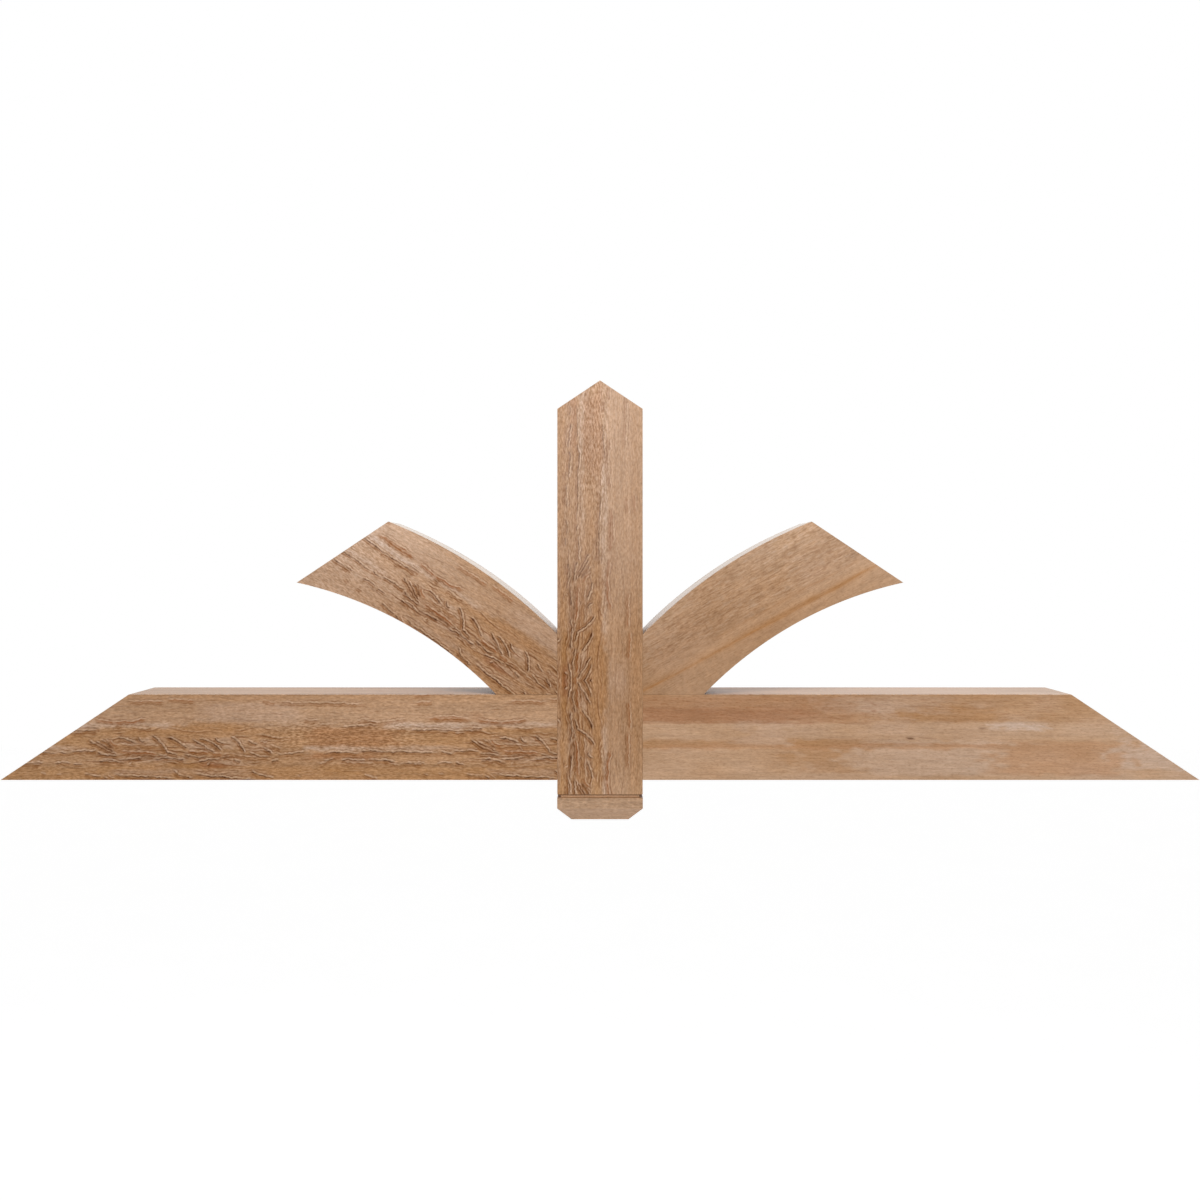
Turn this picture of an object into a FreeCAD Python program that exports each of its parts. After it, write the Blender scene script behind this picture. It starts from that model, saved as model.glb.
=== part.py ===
# Decorative gable truss in solid timber.
#
# A level bottom chord and a king post cross in a half lap, with the post unbroken on the front and the
# chord unbroken on the back. A curved brace stands in each corner between them, and a cap board hangs under
# the post below a shadow groove. Every upper end is cut to one roof line, from the eave tips to the apex of
# the post. Dowels, long screws and plugs hold it together from inside, so the front shows timber alone.
#
# The origin is on the back face, where the centrelines of the chord and the post cross.
# +X is to the right seen from the front, +Y is to the back and +Z is up. Sizes are in millimetres.

import FreeCAD, Part
import math
import operator
import os
from types import SimpleNamespace

import Sketcher
from FreeCAD import Vector

# Driving dimensions: name, value and meaning. Each becomes a named cell of the sheet called Sizes.
DRIVING = [
    ("span", 2133.6, "overall width, from eave tip to eave tip"),
    ("roof_rise", 711.2, "height of the apex above the underside of the chord"),
    ("timber_depth", 152.4, "front to back, the same for every timber"),
    ("chord_face", 152.4, "height of the bottom chord's face"),
    ("post_face", 152.4, "width of the king post's face"),
    ("post_drop", 25.4, "full section of the post below the chord"),
    ("groove_height", 6.35, "shadow groove round the post, between it and its cap"),
    ("groove_depth", 6.35, "how far the groove is set in on all four sides"),
    ("cap_thickness", 38.1, "cap board under the post"),
    ("cap_corner_run", 25.4, "level length of the cap's cut lower corners"),
    ("cap_corner_rise", 19.05, "upright length of the cap's cut lower corners"),
    ("brace_face", 152.4, "width of the curved brace between its two arcs"),
    ("brace_radius", 702.0, "radius of the brace's lower arc"),
    ("brace_foot", 108.7, "length of the brace's foot on the chord"),
    ("brace_foot_angle", 43.9, "angle in degrees of the lower arc's radius where it meets the chord"),
    ("lap_depth", 76.2, "thickness of the chord that is left behind the post"),
    ("lap_clearance", 0.3, "gap at each shoulder of the half lap"),
    ("dowel_diameter", 25.4, "brace dowels"),
    ("dowel_length", 110.0, "brace dowels, half in the brace and half in the post"),
    ("dowel_spacing", 76.2, "between the two dowels of a brace, front to back"),
    ("dowel_height", 53.0, "dowel axis above the chord"),
    ("dowel_end_gap", 1.0, "room for glue at each end of a dowel"),
    ("glue_gap", 0.15, "all round dowels and plugs"),
    ("screw_head", 16.0, "structural screws: diameter of the washer head"),
    ("screw_head_height", 4.0, "structural screws: thickness of the washer head"),
    ("screw_shaft", 7.0, "structural screws: diameter of the shaft, under the thread"),
    ("screw_point", 7.0, "structural screws: length of the point"),
    ("screw_clearance", 0.1, "round every screw in its hole"),
    ("lap_screw_offset", 38.1, "lap screws, each way from the centre of the half lap"),
    ("lap_screw_sink", 2.0, "lap screw heads in from the back face"),
    ("lap_screw_bite", 54.0, "lap screws in the post"),
    ("brace_screw_sink", 21.4, "brace screw heads up from the underside of the chord"),
    ("brace_screw_bite", 76.2, "brace screws in the brace"),
    ("plug_length", 19.0, "wooden plugs that close the holes below the brace screws"),
    ("cap_screw_head", 9.0, "cap screws: diameter of the head"),
    ("cap_screw_head_height", 2.6, "cap screws: thickness of the head"),
    ("cap_screw_shaft", 4.4, "cap screws: diameter of the shaft, under the thread"),
    ("cap_screw_point", 5.0, "cap screws: length of the point"),
    ("cap_screw_sink", 1.5, "cap screw heads up from the underside of the cap"),
    ("cap_screw_bite", 20.0, "cap screws in the post"),
    ("cap_screw_spacing", 63.5, "between the two cap screws, side to side"),
]


class Size:
    """A number together with the expression on the sheet that gives it."""

    def __init__(self, value, text=None):
        self.value = float(value)
        self.text = text or f"({value})"

    def joined(self, other, sign, operation):
        other = other if isinstance(other, Size) else Size(other)
        return Size(operation(self.value, other.value), f"({self.text} {sign} {other.text})")

    def __add__(self, other):
        return self.joined(other, "+", operator.add)

    def __sub__(self, other):
        return self.joined(other, "-", operator.sub)

    def __mul__(self, other):
        return self.joined(other, "*", operator.mul)

    def __truediv__(self, other):
        return self.joined(other, "/", operator.truediv)

    def __neg__(self):
        return self * -1


def cosine(angle):
    return Size(math.cos(math.radians(angle.value)), f"cos({angle.text} * 1deg)")


def sine(angle):
    return Size(math.sin(math.radians(angle.value)), f"sin({angle.text} * 1deg)")


doc = FreeCAD.newDocument("gable_truss")


def make_sheet():
    """The spreadsheet of driving dimensions, with the meaning in column A and the named value in column B."""
    sheet = doc.addObject("Spreadsheet::Sheet", "Sizes")
    for row, (name, value, meaning) in enumerate(DRIVING, start=1):
        sheet.set(f"A{row}", meaning)
        sheet.set(f"B{row}", str(value))
        sheet.setAlias(f"B{row}", name)
    doc.recompute()
    return SimpleNamespace(**{row[0]: Size(sheet.get(row[0]), f"Sizes.{row[0]}") for row in DRIVING})


size = make_sheet()

# Places that several pieces share.
ZERO = Size(0)
EAVE = size.span / 2
SLOPE = size.roof_rise / EAVE
CHORD_TOP = size.chord_face / 2
UNDERSIDE = -CHORD_TOP
APEX = UNDERSIDE + size.roof_rise
POST_SIDE = size.post_face / 2
POST_END = UNDERSIDE - size.post_drop
CAP_TOP = POST_END - size.groove_height
CAP_BOTTOM = CAP_TOP - size.cap_thickness
MID_DEPTH = size.timber_depth / 2
BRACE_HEEL = -POST_SIDE - size.brace_foot
BRACE_OUTER_RADIUS = size.brace_radius + size.brace_face
BRACE_CENTRE_X = BRACE_HEEL - size.brace_radius * cosine(size.brace_foot_angle)
BRACE_CENTRE_Z = CHORD_TOP - size.brace_radius * sine(size.brace_foot_angle)

# The two screws of a brace divide its foot in three.
BRACE_SCREW_PITCH = size.brace_foot / 3

# Centres of the holes, each a pair of coordinates in the plane that the holes are drilled from.
LAP_SCREWS = [(size.lap_screw_offset * i, size.lap_screw_offset * i) for i in (-1, 1)]
LEFT_BRACE_SCREWS = [(BRACE_HEEL + BRACE_SCREW_PITCH * i, -MID_DEPTH) for i in (1, 2)]
RIGHT_BRACE_SCREWS = [(-x, y) for x, y in LEFT_BRACE_SCREWS]
DOWELS = [(-MID_DEPTH + size.dowel_spacing * i / 2, CHORD_TOP + size.dowel_height) for i in (-1, 1)]
CAP_SCREWS = [(size.cap_screw_spacing * i / 2, -MID_DEPTH) for i in (-1, 1)]

# Holes that more than one piece has.
SCREW_HEAD_HOLE = size.screw_head + size.screw_clearance * 2
SCREW_HOLE = size.screw_shaft + size.screw_clearance * 2
CAP_SCREW_HOLE = size.cap_screw_shaft + size.screw_clearance * 2
DOWEL_HOLE = size.dowel_diameter + size.glue_gap * 2
DOWEL_DEPTH = size.dowel_length / 2 + size.dowel_end_gap

# Sketches


def new_sketch(body, name, plane, offset=ZERO, origin=(ZERO, ZERO)):
    """A sketch on one of the body's origin planes, moved along the plane's normal and within the plane."""
    sketch = body.newObject("Sketcher::SketchObject", f"{body.Label}_{name}_sketch")
    planes = {feature.Role: feature for feature in body.Origin.OriginFeatures}
    sketch.AttachmentSupport = [(planes[plane], "")]
    sketch.MapMode = "FlatFace"
    for axis, place in zip("xyz", (*origin, offset)):
        sketch.setExpression(f"AttachmentOffset.Base.{axis}", place.text)
    return sketch


def bind(sketch, measured, kind, *geometry):
    """Adds a constraint whose size follows the sheet."""
    index = sketch.addConstraint(Sketcher.Constraint(kind, *geometry, measured.value))
    sketch.setExpression(f"Constraints[{index}]", measured.text)


def place_point(sketch, geometry, vertex, x, y):
    """Ties a point of the sketch to its two coordinates."""
    bind(sketch, x, "DistanceX", -1, 1, geometry, vertex)
    bind(sketch, y, "DistanceY", -1, 1, geometry, vertex)


def polygon(sketch, corners):
    """A closed outline of straight lines through the corners."""
    points = [Vector(x.value, y.value, 0) for x, y in corners]
    ends = points[1:] + points[:1]
    lines = [sketch.addGeometry(Part.LineSegment(start, end)) for start, end in zip(points, ends)]
    for line, following in zip(lines, lines[1:] + lines[:1]):
        sketch.addConstraint(Sketcher.Constraint("Coincident", line, 2, following, 1))
    for line, (x, y) in zip(lines, corners):
        place_point(sketch, line, 1, x, y)


def rectangle(left, right, low, high):
    """The corners of an upright rectangle."""
    return [(left, low), (right, low), (right, high), (left, high)]


def circles(sketch, centres, diameter):
    """Circles of one diameter about the centres."""
    for x, y in centres:
        outline = Part.Circle(Vector(x.value, y.value, 0), Vector(0, 0, 1), diameter.value / 2)
        circle = sketch.addGeometry(outline)
        bind(sketch, diameter, "Diameter", circle)
        place_point(sketch, circle, 3, x, y)


# Features


def new_body(label):
    """An empty piece with its name."""
    body = doc.addObject("PartDesign::Body", label)
    body.Label = label
    return body


def pad(body, sketch, length, backwards=False):
    """Adds the sketch's outline along the plane's normal, or against it."""
    feature = body.newObject("PartDesign::Pad", f"{sketch.Name}_pad")
    feature.Profile = sketch
    feature.Reversed = backwards
    feature.setExpression("Length", length.text)
    doc.recompute()
    return feature


def pocket(body, sketch, depth, along_normal=False):
    """Cuts the sketch's outline into the body, against the plane's normal or along it."""
    before = body.Shape.Volume
    feature = body.newObject("PartDesign::Pocket", f"{sketch.Name}_pocket")
    feature.Profile = sketch
    feature.Reversed = along_normal
    feature.setExpression("Length", depth.text)
    doc.recompute()
    if body.Shape.Volume >= before:
        raise RuntimeError(f"{feature.Name} cuts nothing")


def drill(body, name, plane, offset, centres, diameter, depth, along_normal=True):
    """Drills one hole at each centre, from the plane at that offset."""
    sketch = new_sketch(body, name, plane, offset)
    circles(sketch, centres, diameter)
    pocket(body, sketch, depth, along_normal)


def timber(label, corners):
    """A timber with the given front outline, from the back face to the full depth of the truss."""
    body = new_body(label)
    sketch = new_sketch(body, "outline", "XZ_Plane")
    polygon(sketch, corners)
    pad(body, sketch, size.timber_depth)
    return body


def mirrored(label, source):
    """The same piece on the other side of the truss."""
    feature = doc.addObject("Part::Mirroring", label)
    feature.Label = label
    feature.Source = source
    feature.Normal = Vector(1, 0, 0)
    doc.recompute()
    return feature


# Timbers


def make_bottom_chord():
    """The tie across the gable, notched from the front for the post."""
    top_end = EAVE - size.chord_face / SLOPE
    body = timber(
        "bottom_chord",
        [(-EAVE, UNDERSIDE), (EAVE, UNDERSIDE), (top_end, CHORD_TOP), (-top_end, CHORD_TOP)],
    )
    shoulder = POST_SIDE + size.lap_clearance
    notch = new_sketch(body, "lap", "XZ_Plane", size.timber_depth)
    polygon(notch, rectangle(-shoulder, shoulder, -size.chord_face, size.chord_face))
    pocket(body, notch, size.timber_depth - size.lap_depth)

    lap_seat = size.lap_screw_sink + size.screw_head_height
    drill(body, "lap_heads", "XZ_Plane", ZERO, LAP_SCREWS, SCREW_HEAD_HOLE, lap_seat)
    drill(body, "lap_shafts", "XZ_Plane", ZERO, LAP_SCREWS, SCREW_HOLE, size.lap_depth)

    brace_screws = LEFT_BRACE_SCREWS + RIGHT_BRACE_SCREWS
    brace_seat = size.brace_screw_sink + size.screw_head_height
    drill(body, "brace_heads", "XY_Plane", UNDERSIDE, brace_screws, SCREW_HEAD_HOLE, brace_seat)
    drill(body, "brace_shafts", "XY_Plane", UNDERSIDE, brace_screws, SCREW_HOLE, size.chord_face)
    return body


def make_king_post():
    """The upright, pointed to the roof line, notched from the back and grooved above its cap."""
    shoulder = APEX - POST_SIDE * SLOPE
    body = timber(
        "king_post",
        [
            (-POST_SIDE, POST_END),
            (POST_SIDE, POST_END),
            (POST_SIDE, shoulder),
            (ZERO, APEX),
            (-POST_SIDE, shoulder),
        ],
    )
    neck_side = POST_SIDE - size.groove_depth
    neck = new_sketch(body, "neck", "XY_Plane", POST_END)
    polygon(neck, rectangle(-neck_side, neck_side, size.groove_depth - size.timber_depth, -size.groove_depth))
    pad(body, neck, size.groove_height, backwards=True)

    notch = new_sketch(body, "lap", "XZ_Plane")
    low = UNDERSIDE - size.lap_clearance
    high = CHORD_TOP + size.lap_clearance
    polygon(notch, rectangle(-size.post_face, size.post_face, low, high))
    pocket(body, notch, size.lap_depth, along_normal=True)

    lap_tip = size.lap_depth + size.lap_screw_bite + size.screw_clearance
    drill(body, "lap_shafts", "XZ_Plane", ZERO, LAP_SCREWS, SCREW_HOLE, lap_tip)
    drill(body, "left_dowels", "YZ_Plane", -POST_SIDE, DOWELS, DOWEL_HOLE, DOWEL_DEPTH)
    drill(body, "right_dowels", "YZ_Plane", POST_SIDE, DOWELS, DOWEL_HOLE, DOWEL_DEPTH, along_normal=False)

    cap_tip = size.groove_height + size.cap_screw_bite + size.screw_clearance
    drill(body, "cap_shafts", "XY_Plane", CAP_TOP, CAP_SCREWS, CAP_SCREW_HOLE, cap_tip)
    return body


def make_post_cap():
    """The board under the post, with its grain across and its lower corners cut off."""
    corner_x = POST_SIDE - size.cap_corner_run
    corner_z = CAP_BOTTOM + size.cap_corner_rise
    body = timber(
        "post_cap",
        [
            (-POST_SIDE, CAP_TOP),
            (-POST_SIDE, corner_z),
            (-corner_x, CAP_BOTTOM),
            (corner_x, CAP_BOTTOM),
            (POST_SIDE, corner_z),
            (POST_SIDE, CAP_TOP),
        ],
    )
    head_hole = size.cap_screw_head + size.screw_clearance * 2
    seat = size.cap_screw_sink + size.cap_screw_head_height
    drill(body, "heads", "XY_Plane", CAP_BOTTOM, CAP_SCREWS, head_hole, seat)
    drill(body, "shafts", "XY_Plane", CAP_BOTTOM, CAP_SCREWS, CAP_SCREW_HOLE, size.cap_thickness)
    return body


def roof_meets_arc(centre, radius):
    """Where the left roof line crosses a circle, on the side of the post."""
    eave = Vector(-EAVE.value, UNDERSIDE.value, 0)
    along = (Vector(0, APEX.value, 0) - eave).normalize()
    nearest = eave + along * (centre - eave).dot(along)
    half_chord = math.sqrt(radius**2 - (nearest - centre).Length ** 2)
    return nearest + along * half_chord


def arc_between(sketch, centre, radius, start, end):
    """An arc about the centre, anticlockwise from the start point to the end point."""
    angles = [math.atan2(point.y - centre.y, point.x - centre.x) for point in (start, end)]
    return sketch.addGeometry(Part.ArcOfCircle(Part.Circle(centre, Vector(0, 0, 1), radius), *angles))


def brace_outline(sketch):
    """Two arcs about one centre, closed by the chord, the post and the roof line."""
    centre = Vector(BRACE_CENTRE_X.value, BRACE_CENTRE_Z.value, 0)
    inner = size.brace_radius.value
    outer = BRACE_OUTER_RADIUS.value
    corner = Vector(-POST_SIDE.value, CHORD_TOP.value, 0)
    heel = Vector(BRACE_HEEL.value, CHORD_TOP.value, 0)
    neck = Vector(corner.x, centre.y + math.sqrt(outer**2 - (corner.x - centre.x) ** 2), 0)
    low_tip = roof_meets_arc(centre, inner)
    high_tip = roof_meets_arc(centre, outer)

    low_arc = arc_between(sketch, centre, inner, heel, low_tip)
    high_arc = arc_between(sketch, centre, outer, neck, high_tip)
    roof_cut = sketch.addGeometry(Part.LineSegment(low_tip, high_tip))
    post_end = sketch.addGeometry(Part.LineSegment(neck, corner))
    foot = sketch.addGeometry(Part.LineSegment(corner, heel))
    shared_points = [
        (low_arc, 2, roof_cut, 1),
        (roof_cut, 2, high_arc, 2),
        (high_arc, 1, post_end, 1),
        (post_end, 2, foot, 1),
        (foot, 2, low_arc, 1),
        (low_arc, 3, high_arc, 3),
    ]
    for points in shared_points:
        sketch.addConstraint(Sketcher.Constraint("Coincident", *points))
    sketch.addConstraint(Sketcher.Constraint("Vertical", post_end))
    sketch.addConstraint(Sketcher.Constraint("Horizontal", foot))
    place_point(sketch, foot, 1, -POST_SIDE, CHORD_TOP)
    place_point(sketch, low_arc, 3, BRACE_CENTRE_X, BRACE_CENTRE_Z)
    bind(sketch, size.brace_radius, "Radius", low_arc)
    bind(sketch, BRACE_OUTER_RADIUS, "Radius", high_arc)

    eave = Vector(-EAVE.value, UNDERSIDE.value, 0)
    roof_line = sketch.addGeometry(Part.LineSegment(eave, Vector(0, APEX.value, 0)), True)
    place_point(sketch, roof_line, 1, -EAVE, UNDERSIDE)
    place_point(sketch, roof_line, 2, ZERO, APEX)
    for vertex in (1, 2):
        sketch.addConstraint(Sketcher.Constraint("PointOnObject", roof_cut, vertex, roof_line))


def make_left_brace():
    """The curved brace, drilled for its dowels in the post end and for its screws in the foot."""
    body = new_body("left_brace")
    sketch = new_sketch(body, "outline", "XZ_Plane")
    brace_outline(sketch)
    pad(body, sketch, size.timber_depth)
    drill(body, "dowels", "YZ_Plane", -POST_SIDE, DOWELS, DOWEL_HOLE, DOWEL_DEPTH, along_normal=False)
    tip = size.brace_screw_bite + size.screw_clearance
    drill(body, "shafts", "XY_Plane", CHORD_TOP, LEFT_BRACE_SCREWS, SCREW_HOLE, tip)
    return body


# Dowels, plugs and screws


def make_left_brace_dowels():
    """Two dowels across the joint between brace and post."""
    body = new_body("left_brace_dowels")
    sketch = new_sketch(body, "ends", "YZ_Plane", -POST_SIDE - size.dowel_length / 2)
    circles(sketch, DOWELS, size.dowel_diameter)
    pad(body, sketch, size.dowel_length)
    return body


def make_left_screw_plugs():
    """Two plugs, flush with the underside of the chord."""
    body = new_body("left_screw_plugs")
    sketch = new_sketch(body, "ends", "XY_Plane", UNDERSIDE)
    circles(sketch, LEFT_BRACE_SCREWS, SCREW_HEAD_HOLE - size.glue_gap * 2)
    pad(body, sketch, size.plug_length)
    return body


def turned_screw(body, plane, offset, origin, widths, head_height, point, head, tip):
    """One screw turned about the upright axis of its sketch.

    widths are the diameters of head and shaft. head and tip are the places along the axis of the outside of
    the head and the end of the point.
    """
    head_radius, shaft_radius = (width / 2 for width in widths)
    inwards = 1 if tip.value > head.value else -1
    seat = head + head_height * inwards
    point_start = tip - point * inwards
    sketch = new_sketch(body, "profile", plane, offset, origin)
    polygon(
        sketch,
        [
            (ZERO, head),
            (head_radius, head),
            (head_radius, seat),
            (shaft_radius, seat),
            (shaft_radius, point_start),
            (ZERO, tip),
        ],
    )
    turned = body.newObject("PartDesign::Revolution", f"{body.Label}_turned")
    turned.Profile = sketch
    turned.ReferenceAxis = (sketch, ["V_Axis"])
    turned.Angle = 360
    doc.recompute()
    return turned


def pair(body, feature, kind, **settings):
    """Makes the feature one of a pair, by the pattern of that kind."""
    pattern = body.newObject(f"PartDesign::{kind}", f"{body.Label}_pair")
    pattern.Originals = [feature]
    pattern.Occurrences = 2
    for name, setting in settings.items():
        if isinstance(setting, Size):
            pattern.setExpression(name, setting.text)
        else:
            setattr(pattern, name, setting)
    body.Tip = pattern
    doc.recompute()


def origin_axis(body, role):
    """One of the body's own axes, in the form that a pattern takes."""
    axes = {feature.Role: feature for feature in body.Origin.OriginFeatures}
    return (axes[role], [""])


STRUCTURAL_SCREW = {
    "widths": (size.screw_head, size.screw_shaft),
    "head_height": size.screw_head_height,
    "point": size.screw_point,
}
CAP_SCREW = {
    "widths": (size.cap_screw_head, size.cap_screw_shaft),
    "head_height": size.cap_screw_head_height,
    "point": size.cap_screw_point,
}


def make_lap_screws():
    """Two screws from the back, through the chord and into the post, on a diagonal of the half lap."""
    body = new_body("lap_screws")
    first_x, first_z = LAP_SCREWS[0]
    head = -size.lap_screw_sink
    tip = -size.lap_depth - size.lap_screw_bite
    screw = turned_screw(body, "XY_Plane", first_z, (first_x, ZERO), head=head, tip=tip, **STRUCTURAL_SCREW)
    pair(body, screw, "PolarPattern", Axis=origin_axis(body, "Y_Axis"), Angle=360)
    return body


def make_left_brace_screws():
    """Two screws from below, through the chord and into the foot of the brace."""
    body = new_body("left_brace_screws")
    first_x, first_y = LEFT_BRACE_SCREWS[0]
    head = UNDERSIDE + size.brace_screw_sink
    tip = CHORD_TOP + size.brace_screw_bite
    screw = turned_screw(body, "XZ_Plane", -first_y, (first_x, ZERO), head=head, tip=tip, **STRUCTURAL_SCREW)
    pair(body, screw, "LinearPattern", Direction=origin_axis(body, "X_Axis"), Length=BRACE_SCREW_PITCH)
    return body


def make_cap_screws():
    """Two screws from below, through the cap and into the end of the post."""
    body = new_body("cap_screws")
    first_x, first_y = CAP_SCREWS[0]
    head = CAP_BOTTOM + size.cap_screw_sink
    tip = POST_END + size.cap_screw_bite
    screw = turned_screw(body, "XZ_Plane", -first_y, (first_x, ZERO), head=head, tip=tip, **CAP_SCREW)
    pair(body, screw, "LinearPattern", Direction=origin_axis(body, "X_Axis"), Length=size.cap_screw_spacing)
    return body


def make_pieces():
    """Every piece of the truss, each an object of the document with its own label."""
    left_brace = make_left_brace()
    left_dowels = make_left_brace_dowels()
    left_screws = make_left_brace_screws()
    left_plugs = make_left_screw_plugs()
    return [
        make_bottom_chord(),
        make_king_post(),
        make_post_cap(),
        left_brace,
        mirrored("right_brace", left_brace),
        make_lap_screws(),
        left_dowels,
        mirrored("right_brace_dowels", left_dowels),
        left_screws,
        mirrored("right_brace_screws", left_screws),
        left_plugs,
        mirrored("right_screw_plugs", left_plugs),
        make_cap_screws(),
    ]


def check(pieces):
    """Stops before anything is written if an object failed or a piece isn't sound."""
    for item in doc.Objects:
        if "Invalid" in item.State or "Error" in item.State:
            raise RuntimeError(f"{item.Label} failed: {item.State}")
    for piece in pieces:
        if piece.Shape.isNull() or not piece.Shape.isValid() or not piece.Shape.Solids:
            raise RuntimeError(f"{piece.Label} has no sound solid")


pieces = make_pieces()
doc.recompute()
check(pieces)
os.makedirs("parts", exist_ok=True)
for piece in pieces:
    piece.Shape.exportStep(f"parts/{piece.Label}.step")
    print(f"{piece.Label}: {len(piece.Shape.Solids)} solids, {piece.Shape.Volume / 1e3:.1f} cm3")
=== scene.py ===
import math

import bmesh
import bpy
import numpy as np
from mathutils import Matrix, Vector


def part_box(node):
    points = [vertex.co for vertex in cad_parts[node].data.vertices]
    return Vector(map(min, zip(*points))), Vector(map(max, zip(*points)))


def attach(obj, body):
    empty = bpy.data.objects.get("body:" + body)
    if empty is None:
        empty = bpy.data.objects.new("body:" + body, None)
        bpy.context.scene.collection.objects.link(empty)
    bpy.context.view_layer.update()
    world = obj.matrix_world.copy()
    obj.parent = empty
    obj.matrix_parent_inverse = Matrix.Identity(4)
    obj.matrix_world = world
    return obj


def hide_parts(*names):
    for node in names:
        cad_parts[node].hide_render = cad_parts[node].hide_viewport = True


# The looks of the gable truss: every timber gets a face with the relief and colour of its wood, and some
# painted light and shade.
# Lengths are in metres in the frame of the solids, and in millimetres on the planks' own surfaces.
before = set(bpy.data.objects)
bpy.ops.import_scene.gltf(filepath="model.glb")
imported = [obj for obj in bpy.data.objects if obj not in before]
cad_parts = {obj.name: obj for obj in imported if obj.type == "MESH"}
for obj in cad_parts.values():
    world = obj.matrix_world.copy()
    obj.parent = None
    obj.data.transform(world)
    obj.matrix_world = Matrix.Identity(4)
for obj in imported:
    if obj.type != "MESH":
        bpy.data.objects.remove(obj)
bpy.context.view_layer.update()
MM = 0.001
SCENE = bpy.context.scene

# Places taken from the solids.
CHORD_LOW, CHORD_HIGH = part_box("bottom_chord")
POST_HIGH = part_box("king_post")[1]
CAP_LOW, CAP_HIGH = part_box("post_cap")
FRONT = CHORD_LOW.y
EAVE = CHORD_HIGH.x
CHORD_TOP = CHORD_HIGH.z
CHORD_UNDER = CHORD_LOW.z
POST_SIDE = POST_HIGH.x
APEX = POST_HIGH.z
SLOPE = (APEX - CHORD_UNDER) / EAVE
FACE_MM = (CHORD_TOP - CHORD_UNDER) / MM
DEPTH_MM = (CHORD_HIGH.y - FRONT) / MM

# Sizes of the solids that no box gives.
GROOVE = 6.35 * MM
CAP_CORNER_RUN = 25.4 * MM
CAP_CORNER_RISE = 19.05 * MM
BRACE_RADIUS = 0.702
BRACE_FOOT = 0.1087
BRACE_FOOT_ANGLE = math.radians(43.9)
LAP_SCREW_OFFSET = 38.1 * MM
LAP_SCREW_SINK = 2 * MM
LAP_CLEARANCE = 0.3 * MM
SCREW_HEAD_RADIUS = 8 * MM
SCREW_HEAD = 4 * MM
CAP_SCREW_OFFSET = 31.75 * MM
CAP_SCREW_HOLE = 4.1 * MM
CAP_SCREW_HEAD = 2.6 * MM
CAP_SCREW_SHAFT = 2.2 * MM
LAP_SCREW_SHAFT = 3.5 * MM
HOLE_GAP = 0.15 * MM

# The screws' fine forms, but for the pitch as shares of the head's or shaft's size.
THREAD_PITCH = 3.2 * MM
THREAD_DEPTH = 0.22
DRIVE_SHARE = 0.42
DRIVE_LOBES = 6
DRIVE_WAVE = 0.16
DRIVE_DEPTH = 0.55
DRIVE_EDGE = 0.02
DRIVE_MIDDLE = 0.2
HEAD_OUTLINE = [(0, 0.8), (0.08, 0.93), (0.25, 1), (0.5, 1)]
POINT_LENGTH = 1.4
POINT_SHARE = 0.08

POST_END = CAP_HIGH.z + GROOVE
POST_RUN = APEX - POST_SIDE * SLOPE - POST_END
LAP_ROW = (CHORD_TOP + LAP_CLEARANCE - POST_END) / POST_RUN
MID_DEPTH = FRONT / 2
BRACE_OUTER = BRACE_RADIUS + FACE_MM * MM
BRACE_CENTRE_X = -(POST_SIDE + BRACE_FOOT) - BRACE_RADIUS * math.sin(math.pi / 2 - BRACE_FOOT_ANGLE)
BRACE_CENTRE_Z = CHORD_TOP - BRACE_RADIUS * math.cos(math.pi / 2 - BRACE_FOOT_ANGLE)

# Wood surface.
SHARP_ANGLE = math.radians(42)
EDGE_EASE_MM = 0.25
END_RIM_MM = 2.0
PLAIN_RELIEF_MM = 0.3
HEWN_PERIOD = 680.0
STROKE_REACH = 8.0
STROKE_POINTS = 7
LAYER_STEP = 5.4
PATCH_SOFT = 9
PLANED_GRIT = 0.12
STREAK_SEED = 61
NOISE_ROWS = 97
NOISE_COLUMNS = 89

# Fineness of the meshes: steps across a front, steps on the other sides, and rows along a timber.
CHORD_STEPS = 116
LONG_STEPS = 140
SIDE_STEPS = 5
CHORD_ROWS = (470, 13, 230)
POST_ROWS = (22, 120, 420)
BRACE_ROWS = 480
CAP_STEPS = 26
CAP_SIDE_STEPS = 41
CAP_ROWS = (14, 52)
HOLE_SIDES = 40
SCREW_SIDES = 36
THREAD_RINGS = 8

# Metres along the material's wood at which each timber lies, and what goes across it and to the relief.
CHORD_WOOD = 0.0
POST_WOOD = 3.1
LEFT_BRACE_WOOD = 5.3
RIGHT_BRACE_WOOD = 7.9
CAP_WOOD = 11.7
WOOD_ACROSS = 0.37
WOOD_RELIEF_MM = 370

# Where a plank lies on the timbers, in mm: its start, the level from which the post's is turned back,
# and its places across, some drawn out by a share.
CHORD_START = 856.5
POST_START = 173.5
POST_TURN = 100.9
POST_SHIFT = 13
CAP_START = 560
CAP_BAND = 52
CAP_SPREAD = 0.5
BRACE_BAND = 78
BRACE_SPREAD = 0.25

# A point of each brace's grain: x and z in metres, its fall to the right, and its place across in mm.
LEFT_GRAIN = (-0.3185, 0.2353, math.radians(33), 107)
RIGHT_GRAIN = (0.0801, 0.0840, math.radians(-28.3), 88)
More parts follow.
